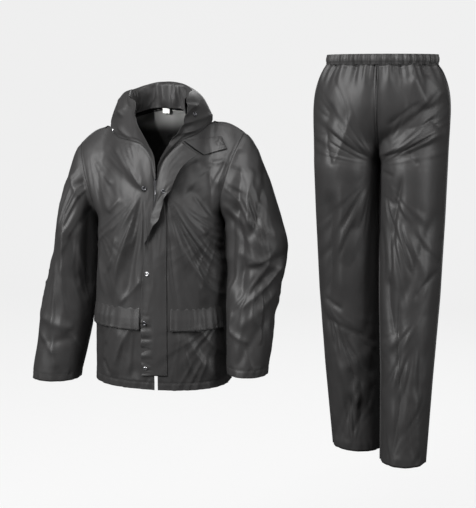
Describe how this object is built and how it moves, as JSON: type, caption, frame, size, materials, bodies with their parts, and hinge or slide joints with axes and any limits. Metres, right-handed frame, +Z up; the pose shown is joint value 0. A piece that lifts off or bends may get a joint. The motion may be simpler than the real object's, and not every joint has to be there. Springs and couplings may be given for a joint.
{
  "type": "rain suit",
  "caption": "Rain jacket with a hood rolled in its collar, storm flap and pocket flaps, and matching trousers with a gathered waist, both filled out as if worn.",
  "frame": {"origin": "middle of the jacket's neck opening, level with the inner ends of the shoulder seams", "axes": "+Z up, the fronts face -Y, +X towards the wearer's left; the trousers stand beside the jacket along +X"},
  "size_m": [1.1515, 0.2966, 1.0535],
  "materials": {
    "jacket_cloth": "coated nylon with a soft sheen",
    "trouser_cloth": "coated nylon with a soft sheen",
    "zip_cloth": "woven tape with moulded teeth",
    "stud_metal": "dark plated metal",
    "slider_metal": "plated metal",
    "label_cloth": "woven"
  },
  "bodies": {
    "suit": {"jacket_front_left": "jacket_cloth", "jacket_front_right": "jacket_cloth", "jacket_back": "jacket_cloth", "sleeve_left": "jacket_cloth", "sleeve_right": "jacket_cloth", "collar": "jacket_cloth", "hood_roll": "jacket_cloth", "storm_flap": "jacket_cloth", "collar_tab": "jacket_cloth", "pocket_flap_left": "jacket_cloth", "pocket_flap_right": "jacket_cloth", "trousers_front_left": "trouser_cloth", "trousers_front_right": "trouser_cloth", "trousers_back_left": "trouser_cloth", "trousers_back_right": "trouser_cloth", "waistband": "trouser_cloth", "zip_tape": "zip_cloth", "stud_flap_1": "stud_metal", "stud_flap_2": "stud_metal", "stud_flap_3": "stud_metal", "stud_flap_4": "stud_metal", "stud_front": "stud_metal", "stud_collar_left": "stud_metal", "stud_collar_right": "stud_metal", "zip_slider": "slider_metal", "neck_label": "label_cloth"},
    "pull": {"zip_pull": "slider_metal"}
  },
  "joints": [
    {"name": "pull_hinge", "type": "hinge", "parent": "suit", "child": "pull", "pos_m": [0.023, -0.1297, -0.109], "axis": [-1, 0, 0], "range_deg": [0, 150]}
  ]
}
